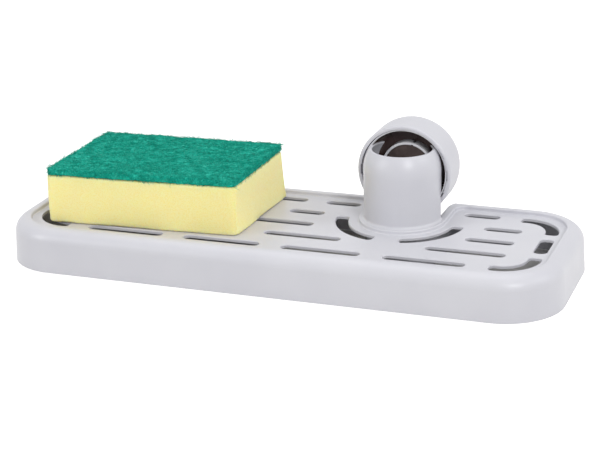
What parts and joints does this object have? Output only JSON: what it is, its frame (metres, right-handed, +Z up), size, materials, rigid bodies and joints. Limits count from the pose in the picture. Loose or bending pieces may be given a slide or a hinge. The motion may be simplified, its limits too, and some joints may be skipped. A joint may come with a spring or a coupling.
{
  "type": "sponge holder",
  "caption": "Slotted sponge tray with a hooded post and a round screw clamp cap that grips a vertical riser pipe; a sponge lies on the tray.",
  "frame": {"origin": "on the table, under the middle of the tray's skirt", "axes": "+X along the tray, +Y towards the clamp cap at the back, +Z up"},
  "size_m": [0.293, 0.1056, 0.0703],
  "materials": {
    "grey_plastic": "satin moulded ABS, light grey",
    "dark_plastic": "smooth moulded acetal, brown black",
    "pad_rubber": "dull black rubber",
    "nut_brass": "turned brass",
    "spindle_steel": "plain stainless steel",
    "foam_yellow": "open celled yellow foam",
    "scour_green": "teal green scouring fibre"
  },
  "bodies": {
    "tray": {"tray_body": "grey_plastic", "rail_pad": "pad_rubber"},
    "cap": {"cap_liner": "dark_plastic", "lip_ring": "grey_plastic"},
    "knob": {"knob_shell": "grey_plastic", "spindle": "spindle_steel"},
    "clamp": {"clamp_tube": "grey_plastic", "tube_ring": "grey_plastic", "grip_disc": "pad_rubber", "nut_insert": "nut_brass"},
    "sponge": {"sponge_foam": "foam_yellow", "scour_pad": "scour_green"}
  },
  "joints": [
    {"name": "cap_release", "type": "slide", "parent": "tray", "child": "cap", "axis": [0, 1, 0], "range_m": [0, 0.035]},
    {"name": "knob_turn", "type": "hinge", "parent": "cap", "child": "knob", "pos_m": [0.053, 0.0209, 0.0456], "axis": [0, 1, 0], "range_deg": [-60, 300]},
    {"name": "clamp_slide", "type": "slide", "parent": "cap", "child": "clamp", "axis": [0, -1, 0], "range_m": [-0.0013, 0.0061]},
    {"name": "sponge_lift", "type": "slide", "parent": "tray", "child": "sponge", "axis": [0, 0, 1], "range_m": [0, 0.06]}
  ],
  "couplings": [
    {"joint": "clamp_slide", "follows": "knob_turn", "m_per_rad": 0.0011459}
  ]
}
